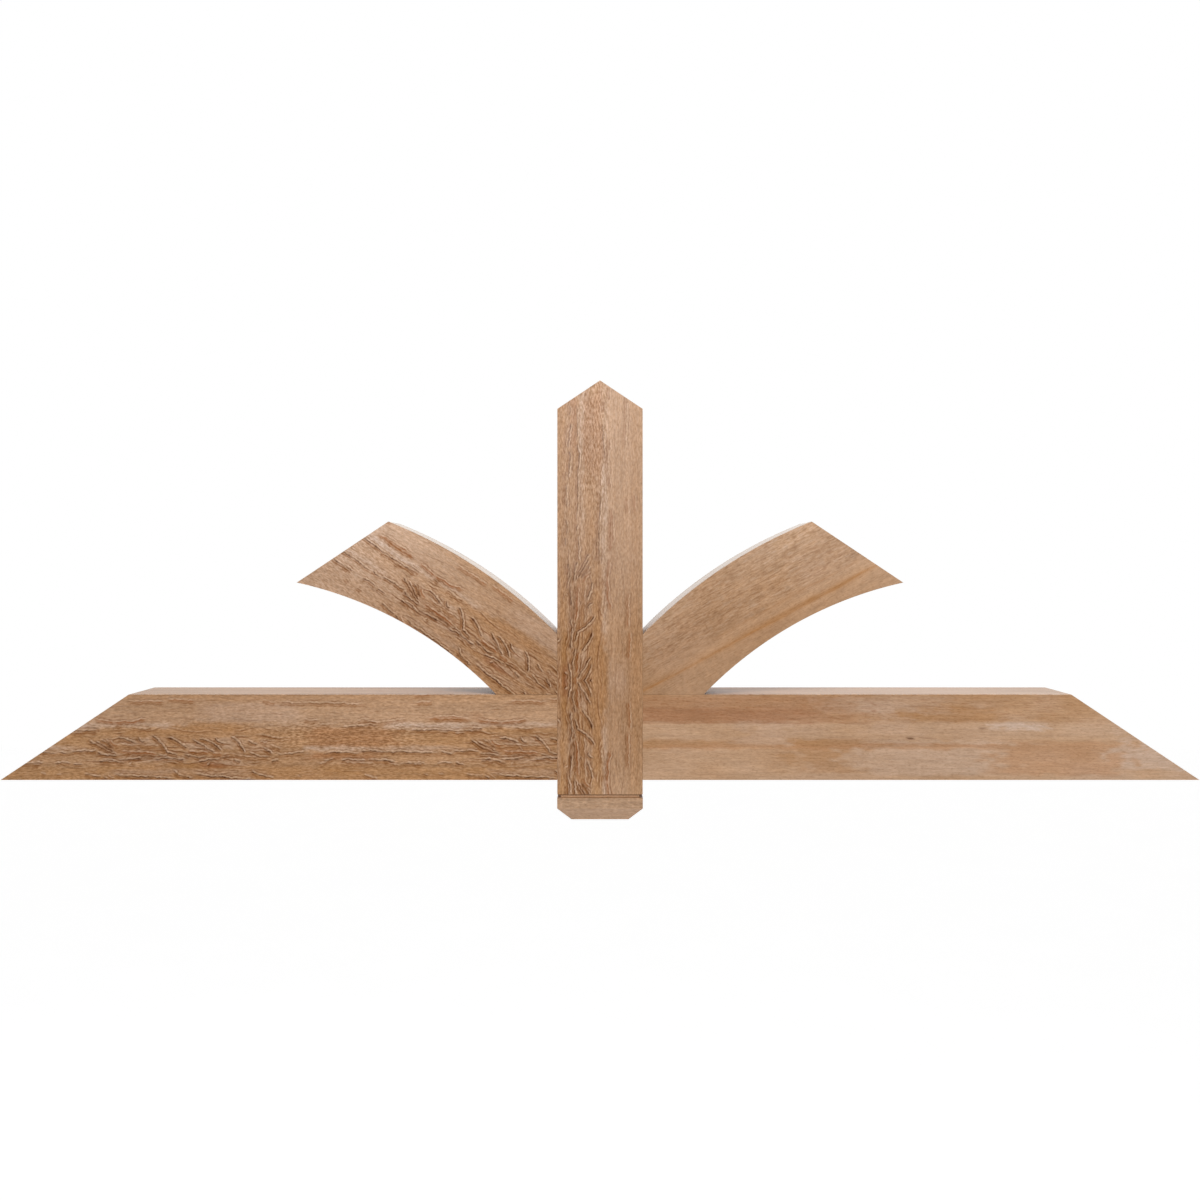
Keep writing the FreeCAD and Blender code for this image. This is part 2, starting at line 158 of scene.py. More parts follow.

# Places in metres along each timber, and how light, or how pale, it is there. Along the post and the
# braces this is painted light and shade: the post paler and lighter toward its top and lighter at its
# lower end, the left brace lighter toward its upper tip, and both braces darker toward their feet.
CHORD_SHADES = [
    (-1, 1.1), (-0.9, 1.08), (-0.8, 1), (-0.65, 0.985), (-0.5, 1.05), (-0.25, 1.05), (-0.1, 1),
    (0.1, 0.98), (0.3, 1), (0.45, 0.965), (0.65, 1), (0.75, 1.07), (1, 1.1),
]
POST_PAINTED_LIGHT = [
    (-0.09, 1.1), (-0.06, 1), (0, 0.93), (0.06, 0.89), (0.12, 0.9), (0.25, 0.91), (0.35, 0.91),
    (0.45, 0.96), (0.53, 1.01), (0.6, 1.06),
]
POST_TOP_PAINTED_LIGHT = [(0.18, 0), (0.32, 0.3)]
LEFT_PAINTED_LIGHT_AND_SHADE = [(-0.45, 1.1), (-0.3, 1), (-POST_SIDE, 0.83)]
LEFT_TIP_PAINTED_LIGHT = [(-0.45, 0.42), (-0.3, 0.25), (-0.2, 0.08)]
RIGHT_PAINTED_SHADE = [(POST_SIDE, 0.79), (0.2, 0.83), (0.3, 0.93), (0.48, 1)]

# How much painted shade darkens a brace at its tip along its inner arc.
LEFT_TIP_PAINTED_SHADE = 0.12
RIGHT_TIP_PAINTED_SHADE = 0.08

# Stage, light and camera.
WHITE = (1, 1, 1, 1)
WORLD_STRENGTH = 0.42
FLOOR_LEVEL = -2.6
FLOOR_REACH = 20
FLOOR_GLOW = 0.58
CENTRE = Vector((0, MID_DEPTH, 0.2))
LAMPS = [
    ("key", (-0.25, -1.9, 1.9), 1.0, 42),
    ("fill", (2.6, -2.4, 0.6), 1.4, 17),
    ("rear", (1.3, 2.1, 1.9), 1.6, 26),
]
CAMERA_PLACE = (0, -2.702, 0.3065)
SENSOR_MM = 36
LENS_MM = 43.0
HORIZON_SHIFT = -35 / 1200


def linear(red, green, blue):
    """A display colour from 0 to 255 as a linear one."""
    part = np.array([red, green, blue]) / 255
    return np.where(part > 0.04045, ((part + 0.055) / 1.055) ** 2.4, part / 12.92)


TAN = linear(182, 144, 112)
LIGHT_TAN = linear(190, 154, 123)
PINK = linear(193, 160, 136)
PALE = linear(202, 176, 157)
GOLD = linear(166, 117, 68)
RUST = linear(147, 90, 50)
BROWN = linear(126, 86, 56)
UMBER = linear(116, 68, 30)
CREVICE = linear(76, 34, 6)
# Painted shade beside the rough plank's lines, and a painted highlight on their ridges.
STROKE_PAINTED_SHADE = linear(146, 96, 52)
CREST_PAINTED_HIGHLIGHT = linear(210, 177, 148)
END_TINT = linear(172, 132, 96)
# Painted light on the neck over the cap.
NECK_PAINTED_LIGHT = linear(244, 204, 164)
# A painted highlight on a brace's outer arc.
ARC_PAINTED_HIGHLIGHT = linear(202, 182, 163)


# Arithmetic on whole surfaces.

def smooth(value):
    """A soft step from 0 to 1."""
    part = np.clip(value, 0, 1)
    return part * part * (3 - 2 * part)


def window(value, low, high, soft):
    """One between low and high, with soft ends."""
    return smooth((value - low) / soft + 0.5) * smooth((high - value) / soft + 0.5)


def hump(value, centre, half):
    """A bell from 0 to 1, highest at a centre."""
    return np.exp(-((value - centre) / half) ** 2)


def at_stops(value, stops):
    """What stops, each a place and an amount, give at a value."""
    places, amounts = zip(*stops)
    return np.interp(value, places, amounts)


def noise(across_cells, along_cells, seed):
    """Smooth noise from -1 to 1 with one cell to a unit."""
    table = np.random.default_rng(seed).uniform(-1, 1, (NOISE_ROWS, NOISE_COLUMNS))
    row = np.floor(across_cells).astype(int)
    column = np.floor(along_cells).astype(int)
    down = smooth(across_cells - row)
    right = smooth(along_cells - column)
    row_next = (row + 1) % NOISE_ROWS
    column_next = (column + 1) % NOISE_COLUMNS
    row = row % NOISE_ROWS
    column = column % NOISE_COLUMNS
    upper = table[row, column] * (1 - right) + table[row, column_next] * right
    lower = table[row_next, column] * (1 - right) + table[row_next, column_next] * right
    return upper * (1 - down) + lower * down


def mix(tint, colour, amount):
    """The tint with another colour laid over it by an amount from 0 to 1."""
    part = np.clip(amount, 0, 1)[..., None]
    return tint * (1 - part) + colour * part


def bands(across, ground, stops):
    """A ground colour with as much gold across a plank as its stops say."""
    return mix(ground, GOLD, at_stops(across, stops))


def deepened(tint, shade):
    """A tint darkened, or lightened over one, and warmer the darker it is."""
    return tint * np.stack([shade, shade ** 1.3, shade ** 1.7], axis=-1)


# The two planks. Each gives a depth in mm, a colour and a coarseness at places in mm along and across.

# Places across each plank, and how golden it is there.
HEWN_BANDS = [
    (-30, 0.1), (0, 0.36), (14, 0.1), (40, 0), (54, 0.03), (66, 0.46), (82, 0.47), (108, 0.42),
    (122, 0.35), (132, 0.59), (144, 0.57), (152, 0.63), (190, 0.45),
]
SMOOTH_BANDS = [
    (-120, 0), (0, 0.47), (10, 0.38), (46, 0.27), (54, 0), (76, 0.03), (86, 0.16), (100, 0.07), (152, 0),
]

# Colour, strength, and the places along and across between which a patch of the rough plank lies.
HEWN_PATCHES = [
    (PINK, 0.45, 145, 322, 15, 49), (GOLD, 0.5, 112, 228, 50, 64), (GOLD, 0.2, -31, 145, 60, 72),
    (PALE, 0.4, -42, 100, 49, 58), (GOLD, 0.25, -31, -3, 126, 136), (GOLD, 0.6, 105, 150, 120, 131),
    (RUST, 0.9, 154, 190, 122, 131), (GOLD, 0.4, 356, 430, 127, 140), (GOLD, 0.3, 294, 310, 126, 150),
    (RUST, 0.45, 335, 450, 105, 117), (GOLD, 0.25, 528, 626, 72, 88), (GOLD, 0.15, 471, 658, 135, 151),
    (PALE, 0.5, 471, 631, 50, 61), (PALE, 0.35, 471, 597, 92, 101), (PALE, 0.45, 322, 455, 92, 101),
    (PALE, 0.35, 2, 27, 80, 89), (PALE, 0.3, 43, 75, 76, 90), (PALE, 0.4, 121, 157, 88, 101),
    (PALE, 0.35, 182, 217, 76, 97), (PINK, 0.3, 230, 278, 83, 102), (PALE, 0.3, 20, 136, 111, 120),
    (PALE, 0.3, 153, 224, 115, 124), (RUST, 0.4, 0, 76, 98, 106), (RUST, 0.25, 624, 651, 33, 46),
    (PINK, 0.35, -10, 127, 133, 143), (PINK, 0.35, 137, 242, 134, 145), (RUST, 0.35, 340, 485, 60, 93),
]

# Lines of the rough plank, in mm: where each starts along and across it, its run and its drop from there,
# and how far its middle bows below the straight way.
TEARS = [
    (-54, 81, 51, 26, 3), (-2, 78, 33, 10, -3), (34, 76, 12, 8, 4), (59, 75, 28, 29, -5),
    (87, 77, 34, 19, -2), (130, 81, 43, 25, -1), (143, 80, 40, 22, -6), (171, 78, 16, 8, 3),
    (199, 77, 25, 27, -6), (258, 95, 15, 11, 0), (71, 108, 46, 7, 2), (116, 107, 40, 4, 3),
    (-8, 144, 107, 6, 0), (96, 135, 38, 14, 4), (136, 142, 105, 9, 2), (236, 137, 40, 13, 2),
    (395, 116, 44, 4, 0), (470, 117, 22, 4, 0), (530, 123, 14, 1, -1),
]
CRACKS = [
    (-61, 64, 21, 0, 0), (-42, 84, 33, 17, 0), (-31, 82, 21, 13, -1), (-38, 104, 35, 6, 1),
    (-35, 119, 22, 3, -1), (-29, 116, 39, 8, -2), (32, 95, 6, 5, 0), (86, 103, 19, 5, 0),
    (21, 109, 46, 1, 0), (0, 117, 42, -4, 1), (61, 116, 26, -2, 0), (-61, 143, 30, 3, 1),
    (-29, 146, 9, 5, 0), (230, 84, 16, 5, 0), (231, 102, 37, 11, 3), (142, 119, 41, -5, 1),
    (185, 112, 13, 0, 0), (204, 116, 13, 4, 0), (272, 119, 13, 0, 0), (282, 108, 49, -5, 1),
    (158, 127, 6, -3, 0), (365, 106, 64, 0, -3), (431, 103, 49, 0, -2), (364, 118, 18, -2, 0),
    (444, 118, 36, 1, -1), (398, 58, 63, -3, 0), (471, 103, 100, 2, -1), (574, 103, 22, 2, 1),
    (596, 102, 45, 0, -1), (500, 123, 30, 0, 0), (567, 124, 27, 0, -2), (599, 124, 16, 2, 0),
    (517, 63, 126, 3, 0), (629, 61, 18, 0, -1),
]
HAIRS = [
    (-7, 56, 12, 1, 0), (24, 60, 35, 1, 1), (-23, 81, 6, 7, 0), (-61, 102, 21, -1, 0),
    (2, 90, 71, 3, 0), (21, 126, 3, -4, 0), (10, 108, 11, 0, -2), (-20, 145, 10, 5, 0),
    (269, 91, 19, 6, 1), (251, 84, 13, 3, 0), (185, 106, 62, 9, -1), (402, 122, 52, 2, 1),
    (358, 124, 12, -2, 0), (442, 50, 71, -5, 2), (357, 56, 20, -1, 0), (425, 47, 19, 0, -2),
    (331, 45, 24, 1, 2), (317, 146, 6, 3, 0), (436, 143, 25, 8, 1), (483, 125, 15, 1, 0),
    (527, 125, 12, 2, 0), (495, 63, 16, -1, 0), (571, 68, 14, 0, 0), (599, 70, 16, 0, 0),
    (542, 142, 8, 2, 0), (569, 143, 9, 2, 0), (283, 15, 160, 3, 0),
]
STAINS = [
    (-42, 45, 90, 0, 5), (-16, 82, 16, 9, 3), (5, 103, 63, 3, -1), (123, 101, 38, 3, 1),
    (168, 107, 15, 0, -1), (549, 43, 75, 1, 1),
]
FAINT_STAINS = [
    (256, 11, 23, 6, 0), (17, 14, 64, 1, -1), (87, 10, 48, 2, 0), (524, 3, 31, -2, 0),
    (530, 16, 28, -2, 0), (556, 42, 67, 1, -2),
]

# Half width in mm, colour, strength and depth in mm of each kind of line.
HEWN_LINES = [
    ((1.1, CREVICE, 1.0, 1.3), TEARS),
    ((1.1, CREVICE, 0.83, 1.0), CRACKS),
    ((1.1, UMBER, 0.7, 0.5), HAIRS),
    ((1.6, RUST, 0.88, 0.6), STAINS),
    ((1.1, RUST, 0.7, 0.3), FAINT_STAINS),
]


def hewn_stretch(along, start, end, soft):
    """A window along the hewn plank, whose marks come again after every period."""
    place = np.mod(along, HEWN_PERIOD)
    return np.max([window(place + turn * HEWN_PERIOD, start, end, soft) for turn in (-1, 0, 1)], axis=0)


def lay_streaks(along, across, depth, tint, streaks, seed=STREAK_SEED):
    """Adds the long marks of a plank to its depth and colour."""
    for number, (place, start, end, drift, half, colour, strength, sunk) in enumerate(streaks):
        run = (along - start) / (end - start)
        lane = np.full(along.shape, float(number))
        centre = place + drift * np.clip(run, 0, 1) + 1.6 * noise(lane, along / 55, seed)
        centre = centre + 0.5 * noise(lane, along / 13, seed + 1)
        patchy = 0.75 + 0.4 * noise(lane, along / 24, seed + 2)
        trace = smooth_stretch(along, start, end, 24) * patchy * hump(across, centre, half)
        depth = depth + sunk * trace
        tint = mix(tint, colour, strength * trace)
    return depth, tint


def fibres(along, across, tint, amount, seed):
    """Fine and broad streaks of light and dark along the grain, and grit."""
    wander = across + 2.5 * noise(across / 40, along / 90, seed)
    broad = noise(wander / 9, along / 100, seed + 1)
    narrow = noise(wander / 2.8, along / 30, seed + 2)
    short = noise(across / 1.6, along / 7, seed + 3)
    grit = noise(across / 1.5, along / 3, seed + 4)
    shade = 1 + amount * (0.07 * broad + 0.07 * narrow + 0.08 * short + 0.09 * grit)
    return tint * shade[..., None]


def layer_lines(along, across):
    """Fine wavy lines along the torn grain, and the raised ridges over them with a painted highlight,
    from 0 to 1.
    """
    torn = hewn_stretch(along, -60, 300, 50)
    belt = torn * window(across, 103, 124, 8)
    torn = torn * (window(across, 62, 126, 16) + 0.6 * window(across, 126, 220, 16))
    sway = 6 * noise(across / 30, along / 42, 15) + 1.6 * noise(across / 8, along / 11, 16)
    turn = (across + sway) / LAYER_STEP
    offset = (turn - np.round(turn)) * LAYER_STEP
    present = 1.3 * noise(np.round(turn), along / 24, 17) - 0.1 + 0.35 * belt
    present = np.clip(present, 0, 1) * (0.35 + 0.65 * torn)
    return present * hump(offset, 0, 1), present * hump(offset, -1.9, 1)


def stroke_places(along, across, run, drop, bow):
    """Places along one line of the rough plank."""
    share = np.linspace(0, 1, STROKE_POINTS)
    return np.column_stack([along + run * share, across + drop * share + 4 * bow * share * (1 - share)])


def stroke_marks(along, across, places):
    """How far points lie from a line, how far over it, and how far along it from 0 to 1."""
    lengths = np.hypot(*np.diff(places, axis=0).T)
    starts = np.concatenate([[0], np.cumsum(lengths)])
    nearest = np.full(along.shape, np.inf)
    over = np.zeros(along.shape)
    travel = np.zeros(along.shape)
    for number, length in enumerate(lengths):
        step_along, step_across = places[number + 1] - places[number]
        off_along = along - places[number, 0]
        off_across = across - places[number, 1]
        run = np.clip((off_along * step_along + off_across * step_across) / length ** 2, 0, 1)
        distance = np.hypot(off_along - run * step_along, off_across - run * step_across)
        nearer = distance < nearest
        nearest = np.where(nearer, distance, nearest)
        over = np.where(nearer, (off_along * step_across - off_across * step_along) / length, over)
        travel = np.where(nearer, starts[number] + run * length, travel)
    return nearest, over, travel / starts[-1]


def lay_stroke(along, across, vigour, depth, tint, kind, places):
    """Adds one line of the rough plank to the points near it: a raised ridge with a painted highlight on
    one side of it, and painted shade on the other.
    """
    low = places.min(axis=0) - STROKE_REACH
    high = places.max(axis=0) + STROKE_REACH
    near = (along > low[0]) & (along < high[0]) & (across > low[1]) & (across < high[1])
    if not near.any():
        return
    half, colour, strength, sunk = kind
    nearest, over, travel = stroke_marks(along[near], across[near], places)
    taper = strength * vigour[near] * smooth(np.minimum(travel, 1 - travel) * 8 + 0.25)
    beside = taper * hump(nearest - np.abs(over), 0, 1.5)
    line = taper * hump(nearest, 0, half)
    # The ridge is raised and gets a painted highlight. The side over it gets painted light, and the side
    # under it painted shade.
    ridge = beside * hump(over, 2.2, 1.2)
    light = beside * hump(over, 3.4, 2.2)
    shadow = beside * hump(over, -3.2, 2.4)
    follower = hump(over, 4.6, 0.9) + 0.8 * hump(over, -3.8, 0.9)
    depth[near] += 0.4 * sunk * (line + 0.5 * beside * follower) - 0.25 * ridge
    tint[near] = mix(tint[near], CREST_PAINTED_HIGHLIGHT, 0.6 * ridge + 0.25 * light)
    tint[near] = mix(tint[near], STROKE_PAINTED_SHADE, 0.55 * shadow)
    tint[near] = mix(mix(tint[near], UMBER, 0.8 * beside * follower), colour, line)


def lay_strokes(along, across, depth, tint):
    """Adds the lines of the rough plank, a little jagged."""
    depth = depth.copy()
    tint = tint.copy()
    place = np.mod(along + 0.9 * noise(across / 3.5, along / 4.5, 11), HEWN_PERIOD)
    level = across + noise(across / 4.5, along / 4, 12) + 0.5 * noise(across / 2.2, along / 2.4, 18)
    level = level + 1.1 * noise(across / 16, along / 10, 20)
    vigour = np.clip(0.88 + 0.4 * noise(across / 5, along / 7, 19), 0.3, 1.1)
    for kind, lines in HEWN_LINES:
        for line in lines:
            places = stroke_places(*line)
            for turn in (-HEWN_PERIOD, 0, HEWN_PERIOD):
                lay_stroke(place + turn, level, vigour, depth, tint, kind, places)
    return depth, tint


def lay_patches(along, across, tint, patches, stretch, soft):
    """Adds the broad patches of colour of a plank, with soft ends."""
    edge = noise(across / 9, along / 20, 13) + 0.5 * noise(across / 3, along / 9, 14)
    for colour, strength, start, end, low, high in patches:
        area = stretch(along + 0.4 * soft * edge, start, end, soft)
        area = area * window(across + 3 * edge, low, high, PATCH_SOFT)
        tint = mix(tint, colour, strength * area)
    return tint


def hewn_plank(along, across, painted_lightness=0.0):
    """The rough plank of chord, post and left brace, its ground paler with painted light by an amount
    from 0 to 1.
    """
    tint = lay_patches(along, across, bands(across, TAN, HEWN_BANDS), HEWN_PATCHES, hewn_stretch, 45)
    tint = mix(fibres(along, across, tint, 1.1, 31), PALE, painted_lightness)
    depth = 0.5 + 0.25 * noise(across / 5, along / 60, 35)
    line, ridge = layer_lines(along, across)
    depth = depth + 0.4 * line - 0.15 * ridge
    # The ridges over the layer lines get a painted highlight.
    tint = mix(mix(tint, CREST_PAINTED_HIGHLIGHT, 0.4 * ridge), UMBER, 0.95 * line)
    depth, tint = lay_strokes(along, across, depth, tint)
    grit = 0.5 + 0.35 * window(across, 50, 190, 20)
    grit = grit + 0.5 * hewn_stretch(along, 270, 540, 90) * window(across, 54, 96, 26)
    return np.maximum(depth, 0.05), tint, grit


# Colour, strength, and the places along and across between which a patch of the planed chord lies.
CHORD_PATCHES = [
    (linear(154, 104, 72), 0.5, -40, 290, 24, 48), (linear(160, 112, 78), 0.42, -40, 385, 3, 49),
    (GOLD, 0.5, -40, 172, 82, 94), (GOLD, 0.5, 252, 403, 80, 94), (GOLD, 0.35, 270, 368, 95, 138),
    (PINK, 0.4, 172, 261, 49, 90), (PALE, 0.35, 377, 634, 95, 143), (PINK, 0.35, 403, 465, 10, 72),
    (GOLD, 0.45, 465, 634, 22, 48), (PALE, 0.65, 634, 705, 50, 64),
    (linear(178, 126, 86), 0.4, 634, 856, 85, 143), (PALE, 0.4, 856, 954, 63, 134),
    (GOLD, 0.15, 697, 790, 3, 49), (PALE, 0.25, 330, 540, 3, 34), (PALE, 0.4, 434, 660, 83, 88),
    (linear(176, 122, 80), 0.35, -40, 640, 90, 97),
]

# Place across, start, end, drift, half width, colour, strength and depth of streaks on planed timbers.
CHORD_STREAKS = [
    (78, 470, 482, 0, 1.7, CREVICE, 1.3, 0.4),
    (79, 492, 520, 0, 1.0, BROWN, 0.5, 0.2),
    (60, 598, 610, 0, 2.0, CREVICE, 0.8, 0.3),
    (50.5, -10, 370, 0, 1.4, RUST, 0.4, 0.1),
    (88, 380, 640, 2, 1.2, RUST, 0.35, 0.1),
    (22, 470, 620, 3, 1.4, BROWN, 0.3, 0.1),
]

BRACE_STREAKS = [
    (88, -20, 470, 0, 2.0, linear(176, 118, 58), 0.5, 0.1),
    (87, -20, 470, 0, 6.0, linear(182, 132, 84), 0.4, 0.0),
    (86, 240, 430, 0, 3.6, GOLD, 0.5, 0.0),
    (66, 150, 440, -3, 2.0, linear(170, 122, 80), 0.4, 0.1),
]


def smooth_stretch(along, start, end, soft):
    """A window along the planed plank, whose marks come once."""
    return window(along, start, end, min(soft, (end - start) / 2))


def smooth_plank(along, across, patches, streaks):
    """The planed plank of the chord's right half, the right brace and the cap."""
    tint = bands(across, LIGHT_TAN, SMOOTH_BANDS)
    blotch = noise(across / 22, along / 60, 51)
    tint = mix(tint, GOLD, 0.2 * np.clip(blotch, 0, 1))
    tint = mix(tint, PINK, 0.3 * np.clip(-blotch, 0, 1))
    tint = lay_patches(along, across, tint, patches, smooth_stretch, 90)
    lines = noise((across + 2 * noise(across / 30, along / 80, 58)) / 1.6, along / 34, 59)
    tint = fibres(along, across, tint, 0.6, 52) * (1 + 0.07 * lines)[..., None]
    depth = 0.3 + 0.2 * noise(across / 9, along / 70, 56)
    coarse = 0.3 + 0.7 * window(across, -140, 50, 20)
    dashes = np.clip(noise(across / 1.7, along / 6, 57) - 0.35, 0, 1) * coarse
    depth = depth + 0.25 * dashes
    tint = mix(tint, RUST, 0.6 * dashes)
    return *lay_streaks(along, across, depth, tint, streaks), np.full(along.shape, PLANED_GRIT)


def plain_side(along, across):
    """The sawn sides and backs, as far as their wider mesh can show."""
    tint = TAN * (1 + 0.06 * noise(across / 50, along / 160, 71))[..., None]
    depth = PLAIN_RELIEF_MM * (0.5 + 0.5 * noise(across / 60, along / 90, 76))
    return depth, tint


# Meshes.

class Section:
    """The outline of a timber, in mm across its face and into its depth."""

    def __init__(self, face, depth, fine, coarse, more=()):
        front = np.union1d(np.linspace(0, face, fine + 1), more)
        side = np.linspace(0, depth, coarse + 2)[1:-1]
        back = np.union1d(np.linspace(0, face, coarse + 2), more)[::-1]
        self.face = face
        self.depth = depth
        self.front = slice(0, len(front))
        self.rest = slice(len(front), None)
        self.back_start = len(front) + coarse
        self.back_end = self.back_start + len(back)
        self.across = np.concatenate([front, np.full(coarse, face), back, np.zeros(coarse)])
        self.into = np.concatenate([0 * front, side, np.full(len(back), depth), side[::-1]])
        round_back = 2 * face + depth
        self.around = np.concatenate([front, face + side, round_back - back, round_back + side])
        self.count = len(self.across)
        self.lap_far = len(front) + coarse // 2
        self.lap_near = self.back_end + coarse // 2
        self.across_inward = np.where(self.across == 0, 1, np.where(self.across == face, -1, 0))
        self.into_inward = np.where(self.into == 0, 1, np.where(self.into == depth, -1, 0))
        self.corner = (self.across_inward != 0) & (self.into_inward != 0)

    def halves(self, across):
        """The outline in two parts, cut on the front and the back nearest to one place across."""
        front = int(np.argmin(np.abs(self.across[self.front] - across)))
        behind = self.across[self.back_start:self.back_end]
        back = self.back_start + int(np.argmin(np.abs(behind - across)))
        return np.arange(front, back + 1), np.r_[back:self.count, 0:front + 1]

    def lap_parts(self):
        """The outline's back and front parts on each side of a half lap."""
        back = np.arange(self.lap_far, self.lap_near + 1)
        return back, np.r_[self.lap_near:self.count, 0:self.lap_far + 1]


def stack(x, y, z):
    """Points from arrays of coordinates that stretch to one shape."""
    return np.stack(np.broadcast_arrays(x, y, z), axis=-1)


def side_faces(ids):
    """Four-sided faces between rows of point numbers, closed round each row."""
    after = np.roll(ids, -1, axis=1)
    return np.stack([ids[:-1], after[:-1], after[1:], ids[1:]], axis=-1).reshape(-1, 4).tolist()


def new_object(name, data):
    """An object in the scene."""
    made = bpy.data.objects.new(name, data)
    SCENE.collection.objects.link(made)
    return made


def outward(points, faces):
    """The faces turned to look outward, judged by the volume inside them."""
    total = 0.0
    for face in faces:
        corners = points[face]
        total += np.sum(np.cross(corners[1:-1], corners[2:]) @ corners[0])
    return faces if total > 0 else [face[::-1] for face in faces]


def new_piece(name, points, faces, material):
    """A mesh object with smooth faces, its material and its place in the frame."""
    mesh = bpy.data.meshes.new(name)
    mesh.from_pydata(points.tolist(), [], outward(points, faces))
    mesh.shade_smooth()
    mesh.set_sharp_from_angle(angle=SHARP_ANGLE)
    mesh.materials.append(material)
    piece = new_object(name, mesh)
    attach(piece, "root")
    return piece


def mark(mesh, tint, plank, sawn, end, grit):
    """Gives a mesh what the timber's material reads at its points."""
    layer = mesh.attributes.new("tint", "FLOAT_COLOR", "POINT")
    layer.data.foreach_set("color", np.column_stack([tint, np.ones(len(tint))]).ravel())
    layer = mesh.attributes.new("plank", "FLOAT_VECTOR", "POINT")
    layer.data.foreach_set("vector", plank.ravel())
    for name, share in (("sawn", sawn), ("end_grain", end), ("grit", grit)):
        layer = mesh.attributes.new(name, "FLOAT", "POINT")
        layer.data.foreach_set("value", share)


# The outline of a timber as one part.
WHOLE = [slice(None)]


class Timber:
    """One timber while it is made: rows of its section along its length, and closed ends."""

    def __init__(self, section, place, grain, face_look, offset, near_painted_highlight=TAN):
        self.section = section
        self.place = place
        self.grain = grain
        self.face_look = face_look
        self.offset = offset
        self.near_painted_highlight = near_painted_highlight
        self.kept = []
        self.faces = []
        self.count = 0

    def keep(self, points, tint, sawn, end, grit=0.0):
        """Adds points with their marks, and returns their numbers."""
        shape = points.shape[:-1]
        size = math.prod(shape)
        ids = self.count + np.arange(size).reshape(shape)
        vectors = (points, np.broadcast_to(tint, points.shape), self.on_plank(points))
        values = [np.broadcast_to(value, shape).ravel().astype(float) for value in (sawn, end, grit)]
        self.kept.append([vector.reshape(-1, 3) for vector in vectors] + values)
        self.count += size
        return ids

    def on_plank(self, points):
        """Places in the wood's own grain, in metres: along, across and in depth."""
        along, across = self.grain(points)
        further = WOOD_ACROSS * self.offset
        return np.stack([along * MM + self.offset, across * MM + further, points[..., 1]], axis=-1)

    def rows(self, places):
        """Adds rows of the section along the timber, with relief and colour."""
        section = self.section
        row = places[:, None]
        ground = self.place(row, section.across[None, :], section.into[None, :])
        along = self.grain(ground)[0]
        depth = np.zeros(along.shape)
        tint = np.zeros(ground.shape)
        grit = np.zeros(along.shape)
        front = section.front
        depth[:, front], tint[:, front], grit[:, front] = self.face_look(ground[:, front])
        rest = section.rest
        around = np.broadcast_to(section.around, along.shape)
        further = along[:, rest] + WOOD_RELIEF_MM * self.offset
        depth[:, rest], tint[:, rest] = plain_side(further, around[:, rest])
        # Painted highlight: the last side, which on a brace is its outer arc, is made paler.
        tint[:, section.back_end:] *= self.near_painted_highlight / TAN
        depth = np.where(section.corner, EDGE_EASE_MM, depth)
        across = section.across + section.across_inward * depth
        points = self.place(row, across, section.into + section.into_inward * depth)
        return self.keep(points, tint, section.into > 0, 0, grit)

    def narrowed(self, row, rim):
        """The section's points at one place, drawn in by a rim in mm."""
        section = self.section
        across = rim + section.across * (1 - 2 * rim / section.face)
        return self.place(row, across, rim + section.into * (1 - 2 * rim / section.depth))

    def close(self, edge, row, parts, first):
        """Closes an end with a narrow rim and a flat face for each part of the outline."""
        rim = self.keep(self.narrowed(row, END_RIM_MM), END_TINT, 1, 1)
        self.faces += side_faces(np.stack([rim, edge] if first else [edge, rim]))
        self.faces += [(rim[part][::-1] if first else rim[part]).tolist() for part in parts]

    def piece(self, name, node, holes=()):
        """The finished piece, which stands for a solid, with round holes cut into it."""
        points, *marks = [np.concatenate(parts) for parts in zip(*self.kept)]
        made = new_piece(name, points, self.faces, TIMBER)
        mark(made.data, *marks)
        if holes:
            cut_holes(made, holes)
            self.mark_rims(made.data)
        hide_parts(node)

    def mark_rims(self, mesh):
        """Gives the new points on the rims of holes the marks of sawn wood."""
        points = np.zeros(3 * len(mesh.vertices))
        tint = np.zeros(4 * len(mesh.vertices))
        mesh.vertices.foreach_get("co", points)
        mesh.attributes["tint"].data.foreach_get("color", tint)
        points = points.reshape(-1, 3)
        for number in np.nonzero(tint.reshape(-1, 4).min(axis=1) > 0.99)[0]:
            mesh.attributes["tint"].data[number].color = (*TAN, 1)
            mesh.attributes["plank"].data[number].vector = self.on_plank(points[number])
            for name, share in (("sawn", 1), ("end_grain", 0), ("grit", 0)):
                mesh.attributes[name].data[number].value = share


def cut_holes(piece, holes):
    """Cuts round holes, each a middle, axis, radius and length, into a piece."""
    form = bmesh.new()
    for middle, axis, radius, length in holes:
        turn = Vector(axis).to_track_quat("Z", "Y").to_matrix().to_4x4()
        place = Matrix.Translation(middle) @ turn
        bmesh.ops.create_cone(
            form, cap_ends=True, segments=HOLE_SIDES,
            radius1=radius, radius2=radius, depth=length, matrix=place,
        )
    mesh = bpy.data.meshes.new("cutter")
    form.to_mesh(mesh)
    form.free()
    count = len(mesh.vertices)
    none = np.zeros(count)
    mark(mesh, np.broadcast_to(BROWN, (count, 3)), np.zeros((count, 3)), none, none + 1, none)
    cutter = new_object("cutter", mesh)
    change = piece.modifiers.new("holes", "BOOLEAN")
    change.object = cutter
    change.operation = "DIFFERENCE"
    change.solver = "MANIFOLD"
    bpy.context.view_layer.objects.active = piece
    bpy.ops.object.modifier_apply(modifier=change.name)
    piece.data.set_sharp_from_angle(angle=SHARP_ANGLE)
    piece.data.materials.pop(index=1)
    bpy.data.objects.remove(cutter)
    bpy.data.meshes.remove(mesh)


# Materials.

